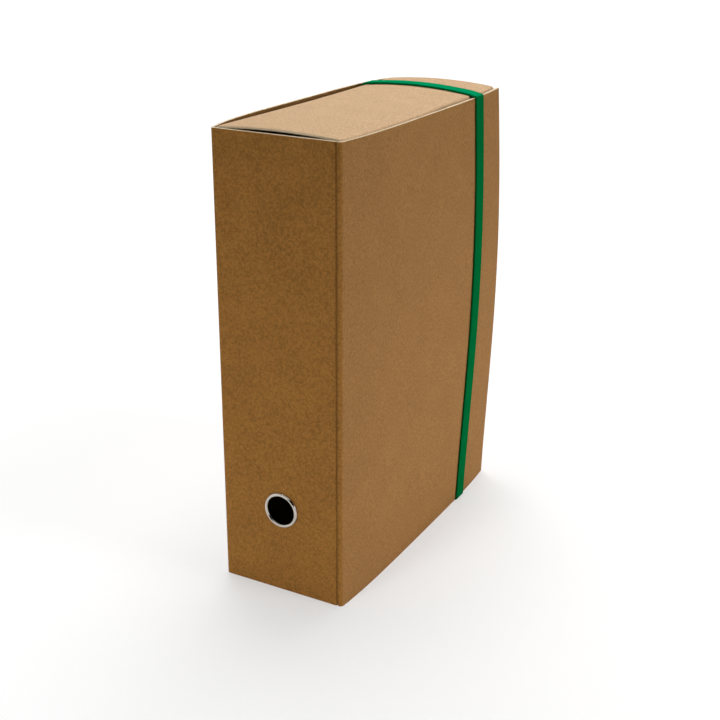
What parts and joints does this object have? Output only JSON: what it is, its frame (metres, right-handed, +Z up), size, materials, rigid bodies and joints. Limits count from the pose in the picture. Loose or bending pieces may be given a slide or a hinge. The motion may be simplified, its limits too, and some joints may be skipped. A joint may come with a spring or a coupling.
{
  "type": "box file",
  "caption": "Upright A4 box file of kraft board with a bowed lid hinged at the spine, an inner tray, a metal finger ring and a flat elastic round the fore edge",
  "frame": {"origin": "middle of the closed box, on the surface that it stands on", "axes": "+Z up along the spine, +Y from the spine to the fore edge, +X from the back cover to the lid"},
  "size_m": [0.1174, 0.249, 0.3353],
  "materials": {
    "kraft_board": "matt brown kraft board with paler cut edges",
    "kraft_card": "matt light kraft card",
    "nickel": "bright nickel plate",
    "green_elastic": "flat woven elastic"
  },
  "bodies": {
    "box": {"back_and_spine": "kraft_board", "inner_tray": "kraft_card", "finger_ring": "nickel", "ring_washer": "nickel", "elastic_band": "green_elastic", "elastic_clip_head": "nickel", "elastic_clip_foot": "nickel"},
    "lid": {"lid": "kraft_board"}
  },
  "joints": [
    {"name": "lid_fold", "type": "hinge", "parent": "box", "child": "lid", "pos_m": [0.04397, -0.12245, 0.165], "axis": [0, 0, -1], "range_deg": [0, 120], "deforming": ["elastic_band"]}
  ]
}
